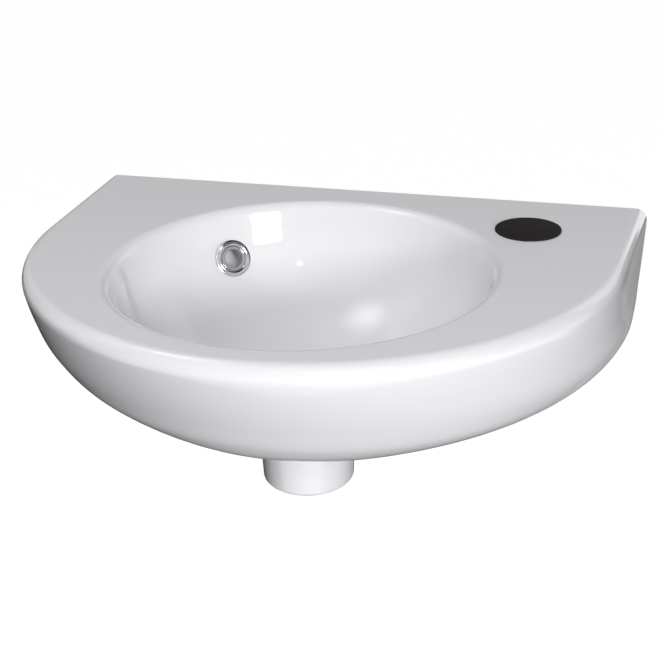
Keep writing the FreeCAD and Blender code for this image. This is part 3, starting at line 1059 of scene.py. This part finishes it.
def bush_mesh():
    """Flanged collar with a lead-in at its nose."""
    s, f = sizes(), fixing_sizes()
    low, high = BUSH_LOW.y, BUSH_HIGH.y
    flange = -s.rail_wall
    outer, bore = s.rail_hole_radius - f.room, f.bolt_radius + f.room
    corners = [
        (bore, low, 0.4 * MM),
        (BUSH_HIGH.z, low, 0.9 * MM),
        (BUSH_HIGH.z, flange, 0.4 * MM),
        (outer, flange, 0.2 * MM),
        (outer, high, 0.8 * MM),
        (bore, high, 0.2 * MM),
    ]
    return shade(lathe("fixing_bush", softened(corners), TO_WALL, closed=True))


def plug_mesh():
    """Flat disc with a soft edge and a short tapered spigot."""
    s, f = sizes(), fixing_sizes()
    deck, top = s.deck_height, PLUG_HIGH.z
    spigot = s.tap_hole_radius + s.tap_flare - 0.4 * MM
    depth = deck - PLUG_LOW.z
    corners = [
        (MM, top, 0),
        (f.plug_radius, top, 0.6 * MM),
        (f.plug_radius, deck, 0.1 * MM),
        (spigot, deck, 0.1 * MM),
        (spigot - depth, deck - depth, 0.3 * MM),
        (MM, deck - depth, 0),
    ]
    return shade(lathe("tap_hole_plug", softened(corners), OVER_TAP_HOLE, 128))


# Stage

CAMERA_PLACE = (0.2445, -0.9181, 0.3577)
CAMERA_YAW, CAMERA_PITCH, CAMERA_ROLL = (math.radians(a) for a in (16.587, 24.531, -1.528))
CAMERA_LENS, CAMERA_SENSOR, CAMERA_NEAR = 66.17, 36, 0.02
LIT_SPOT = Vector((0, -0.16, 0))
LAMP_COLOUR = (0.989, 0.985, 1.033)
FLOOR_REACH, FLOOR_GLOW = 9, 0.99
FLOOR_GREYS = (0.045, 0.06)

# A place is a turn from straight back towards the right and a height, both in degrees, and a distance
# Softboxes: place, width and height of the face
SOFTBOXES = {
    "high": (160, 42, 2.4, 1.4, 1.1),
    "front": (160, 12, 2.4, 1.4, 1.1),
    "window": (140, 13.6, 2.4, 0.75, 0.35),
    "low": (155, -45, 0.95, 0.6, 0.2),
    "level": (166, -25, 1.4, 0.9, 0.3),
    "left": (-95, 45, 2.4, 1.4, 1.1),
    "top": (-30, 72, 2.4, 1.4, 1.1),
    "rear": (-3, -3, 2.2, 1.4, 1.1),
}
# Cards that lie level: height, outline and brightness; a brightness of None is the rear card's setting
LEVEL_CARDS = {
    "low_card": (-0.45, ((-2.4, -0.45), (0.9, -0.45), (0.9, 0.3), (0.1, 0.3), (0.1, 1.4), (-2.4, 1.4)), 0.0),
    "side_card": (-0.46, ((0.1, 0.3), (0.38, 0.3), (0.78, 1.3), (0.1, 1.3)), None),
    "right_low_card": (-0.46, ((0.38, 0.3), (2.2, 0.3), (2.2, 1.3), (0.78, 1.3)), 0.04),
    "ceiling_card": (1.0, ((-0.8, -0.62), (1.5, -0.62), (1.5, 0.9), (-0.8, 0.9)), 0.03),
}
# Cards that stand: left and right turn, low and high edge, distance and brightness
STANDING_CARDS = {
    "rear_card": (-47, 22, -18, 46, 1.7, None),
    "right_rear_card": (22, 62, -20, 8, 1.6, 0.05),
    "right_card": (50, 112, 8, 62, 1.6, 0.05),
    "left_card": (-82, -47, -4, 40, 1.6, 0.55),
    "left_low_card": (-100, -47, -26, -4, 1.6, 0.03),
    "front_card_110": (110, 157, 4, 60, 3.4, 0.9),
    "front_card_157": (157, 204, 4, 60, 3.4, 0.55),
    "front_card_204": (204, 251, 4, 60, 3.4, 0.55),
}
STRIP = ((0.15, 0.5, -0.03), (0.46, 0.5, -0.03), (0.46, 0.5, 0.2), (0.15, 0.5, 0.2))
STRIP_GLOW = 1.7


def camera_matrix():
    """Place and turn of the camera, from its yaw, pitch and roll."""
    yaw, pitch, roll = CAMERA_YAW, CAMERA_PITCH, CAMERA_ROLL
    ahead = Vector((-math.sin(yaw) * math.cos(pitch), math.cos(yaw) * math.cos(pitch), -math.sin(pitch)))
    level_right = Vector((math.cos(yaw), math.sin(yaw), 0))
    level_up = level_right.cross(ahead)
    right = math.cos(roll) * level_right + math.sin(roll) * level_up
    up = math.cos(roll) * level_up - math.sin(roll) * level_right
    turn = Matrix((right, up, -ahead)).transposed().to_4x4()
    return Matrix.Translation(CAMERA_PLACE) @ turn


def bearing(azimuth, elevation, distance):
    """Point at a turn, a height and a distance from the lit spot."""
    a, e = math.radians(azimuth), math.radians(elevation)
    way = Vector((math.sin(a) * math.cos(e), math.cos(a) * math.cos(e), math.sin(e)))
    return LIT_SPOT + way * distance


def softbox(name, azimuth, elevation, distance, width, height, share, mirrored):
    """Area light at a share of full light, aimed at the lit spot."""
    spot = bearing(azimuth, elevation, distance)
    data = bpy.data.lights.new(name, "AREA")
    data.shape = "RECTANGLE"
    data.size, data.size_y = width, height
    data.color = LAMP_COLOUR
    data.energy = share * (math.pi * distance) ** 2
    lamp = new_object(name, data)
    lamp.matrix_world = placed(spot, spot - LIT_SPOT)
    lamp.visible_camera = False
    lamp.visible_glossy = mirrored


def backdrop_share(f):
    """One where a camera, glossy or transmission ray sees the backdrop."""
    seen = f.node("ShaderNodeLightPath", output="Is Camera Ray")
    shiny = f.node("ShaderNodeLightPath", output="Is Glossy Ray")
    through = f.node("ShaderNodeLightPath", output="Is Transmission Ray")
    return (seen + shiny + through) > 0.5


def flat_mesh(name, corners, material):
    """One flat face of any outline."""
    mesh = bpy.data.meshes.new(name)
    mesh.from_pydata([tuple(c) for c in corners], [], [tuple(range(len(corners)))])
    mesh.materials.append(material)
    return mesh


def card(name, corners, glow, soft=False):
    """Flat studio card that only shows as a reflection; a soft one fades from its middle to its edge."""
    f = finish_of(name)
    tone = grey(glow)
    if soft:
        middle = sum((Vector(c) for c in corners), Vector()) / len(corners)
        reach = (Vector(corners[0]) - middle).length
        away = f.node("ShaderNodeVectorMath", {"operation": "DISTANCE"}, {0: f.place(), 1: middle}, "Value")
        fade = f.ramp(away / reach, (0.0, 1), (0.3, 0.78), (0.65, 0.2), (1.0, 0))
        tone = f.mix(fade, grey(1), tone)
    light = f.node("ShaderNodeEmission", None, {"Color": tone, "Strength": 1.0})
    f.node("ShaderNodeOutputMaterial", None, {"Surface": light})
    thing = new_object(name, flat_mesh(name, corners, f.owner))
    thing.visible_camera = thing.visible_diffuse = thing.visible_shadow = False


def disc(name, azimuth, elevation, distance, radius, glow):
    """Round soft card that faces the lit spot."""
    middle = bearing(azimuth, elevation, distance)
    place = placed(middle, middle - LIT_SPOT)
    card(name, [place @ Vector(spot) for spot in hoop(radius, 0, 40)], glow, True)


class BASIN_OT_ceramic(Operator):
    """Make the glazed ceramic casting"""

    bl_idname = "basin.ceramic"
    bl_label = "Ceramic"

    def execute(self, context):
        mesh = ceramic_mesh()
        shade(mesh, 32)
        mark_bare(mesh)
        material = glazed_ceramic(context.scene.basin_finishes.glaze)
        dress(mesh, material, "ceramic_casting", "basin_body", "basin")
        return {"FINISHED"}


class BASIN_OT_overflow(Operator):
    """Make the overflow ring, its sleeve and its seal"""

    bl_idname = "basin.overflow"
    bl_label = "Overflow"

    def execute(self, context):
        c = context.scene.basin_finishes
        point, _, into = overflow_frame()
        place = placed(point, into)
        chrome = polished_chrome(c.chrome)
        # The sleeve's grey is darkened to three quarters of its own colour: painted shade for the dark inside
        # of its bore.
        grey = moulded_plastic("grey_plastic", shaded(c.sleeve, 0.75)[:3], 0.26, 0.5, 0.05)
        dress(ring_mesh(place), chrome, "overflow_ring", "overflow_bezel", "basin")
        dress(sleeve_mesh(place), grey, "overflow_liner", "overflow_sleeve", "basin")
        dress(seal_mesh(), seal_rubber(c.seal), "overflow_gasket", "overflow_seal", "basin")
        return {"FINISHED"}


class BASIN_OT_plug(Operator):
    """Make the plug of the tap hole"""

    bl_idname = "basin.plug"
    bl_label = "Tap hole plug"

    def execute(self, context):
        black = moulded_plastic("black_plastic", context.scene.basin_finishes.plug, 0.75, 0.15, 0.12)
        dress(plug_mesh(), black, "tap_hole_cover", "tap_hole_plug", "plug")
        return {"FINISHED"}


class BASIN_OT_fixings(Operator):
    """Make the hanger bolts with their bushes, washers and nuts"""

    bl_idname = "basin.fixings"
    bl_label = "Wall fixings"

    def execute(self, context):
        c = context.scene.basin_finishes
        zinc = zinc_steel(c.zinc)
        nylon = moulded_plastic("white_nylon", c.nylon, 0.45, 0.5, 0.08)
        tree = fixing_tree()
        kinds = (
            (bolt_mesh(), zinc, "wall_bolts", "hanger_bolts", "zinc_steel"),
            (bush_mesh(), nylon, "wall_bushes", "fixing_bushes", "white_nylon"),
            (washer_mesh(), zinc, "wall_washers", "fixing_washers", "zinc_steel"),
            (nut_mesh(), zinc, "wall_nuts", "fixing_nuts", "zinc_steel"),
        )
        for mesh, material, name, node, slot in kinds:
            dress(fixing_row(tree, mesh, material), material, name, node, "basin")
        return {"FINISHED"}


class BASIN_OT_stage(Operator):
    """Set the floor, the light and the camera"""

    bl_idname = "basin.stage"
    bl_label = "Stage"

    def execute(self, context):
        scene = context.scene
        t = scene.basin_stage
        scene.view_settings.view_transform = "Standard"
        if scene.world is None:
            scene.world = bpy.data.worlds.new("studio")
        w = Finish(scene.world)
        share = backdrop_share(w)
        strength = share + (1 - share) * t.fill
        glow = w.node("ShaderNodeBackground", None, {"Color": grey(1), "Strength": strength})
        w.node("ShaderNodeOutputWorld", None, {"Surface": glow})
        self.lay_floor(t.floor_height)
        self.set_cards(t)
        for name, place in SOFTBOXES.items():
            softbox(f"{name}_softbox", *place, getattr(t, name), name == "window")
        data = bpy.data.cameras.new("photo_view")
        data.lens, data.sensor_width, data.clip_start = CAMERA_LENS, CAMERA_SENSOR, CAMERA_NEAR
        scene.camera = new_object("photo_view", data)
        scene.camera.matrix_world = camera_matrix()
        return {"FINISHED"}

    def set_cards(self, t):
        for name, (height, outline, glow) in LEVEL_CARDS.items():
            card(name, [(x, y, height) for x, y in outline], t.rear_glow if glow is None else glow)
        for name, (left, right, low, high, distance, glow) in STANDING_CARDS.items():
            spots = ((left, low), (right, low), (right, high), (left, high))
            corners = [bearing(a, e, distance) for a, e in spots]
            card(name, corners, t.rear_glow if glow is None else glow)
        card("strip_card", STRIP, STRIP_GLOW)
        disc("soft_glow", -100, 60, 0.95, 0.24, t.glow)
        disc("spark", 161, 38, 1.6, 0.07, t.spark)

    def lay_floor(self, height):
        f = finish_of("studio_floor")
        share = backdrop_share(f)
        paper = f.noise(f.place(), 60, 4)
        matt = f.node("ShaderNodeBsdfDiffuse", None, {"Color": f.mix(paper, *map(grey, FLOOR_GREYS))})
        glow = f.node("ShaderNodeEmission", None, {"Color": grey(1), "Strength": share * FLOOR_GLOW})
        both = f.node("ShaderNodeAddShader", None, {0: matt, 1: glow})
        f.node("ShaderNodeOutputMaterial", None, {"Surface": both})
        corners = [(x * FLOOR_REACH, y * FLOOR_REACH, height) for x, y in ((-1, -1), (1, -1), (1, 1), (-1, 1))]
        new_object("studio_floor", flat_mesh("floor", corners, f.owner))


class BASIN_PT_parts(Panel):
    """Sizes, finishes and pieces of the basin"""

    bl_idname = "BASIN_PT_parts"
    bl_label = "Basin"
    bl_space_type = "VIEW_3D"
    bl_region_type = "UI"
    bl_category = "Basin"

    def draw(self, context):
        for operator in OPERATORS:
            self.layout.operator(operator.bl_idname)
        for name in SETTINGS:
            group = getattr(context.scene, name)
            column = self.layout.column(align=True)
            for setting in group.bl_rna.properties.keys():
                if setting not in ("rna_type", "name"):
                    column.prop(group, setting)


OPERATORS = (BASIN_OT_ceramic, BASIN_OT_overflow, BASIN_OT_plug, BASIN_OT_fixings, BASIN_OT_stage)
SETTINGS = {
    "basin_ceramic": BasinCeramicSizes,
    "basin_overflow": BasinOverflowSizes,
    "basin_fixings": BasinFixingSizes,
    "basin_finishes": BasinFinishes,
    "basin_stage": BasinStageSettings,
}


def register():
    for name, group in SETTINGS.items():
        bpy.utils.register_class(group)
        setattr(bpy.types.Scene, name, PointerProperty(type=group))
    for shown in (*OPERATORS, BASIN_PT_parts):
        bpy.utils.register_class(shown)


def unregister():
    for shown in (BASIN_PT_parts, *reversed(OPERATORS)):
        bpy.utils.unregister_class(shown)
    for name, group in SETTINGS.items():
        delattr(bpy.types.Scene, name)
        bpy.utils.unregister_class(group)


def main():
    register()
    bpy.ops.basin.ceramic()
    bpy.ops.basin.overflow()
    bpy.ops.basin.plug()
    bpy.ops.basin.fixings()
    bpy.ops.basin.stage()


if __name__ == "__main__":
    main()
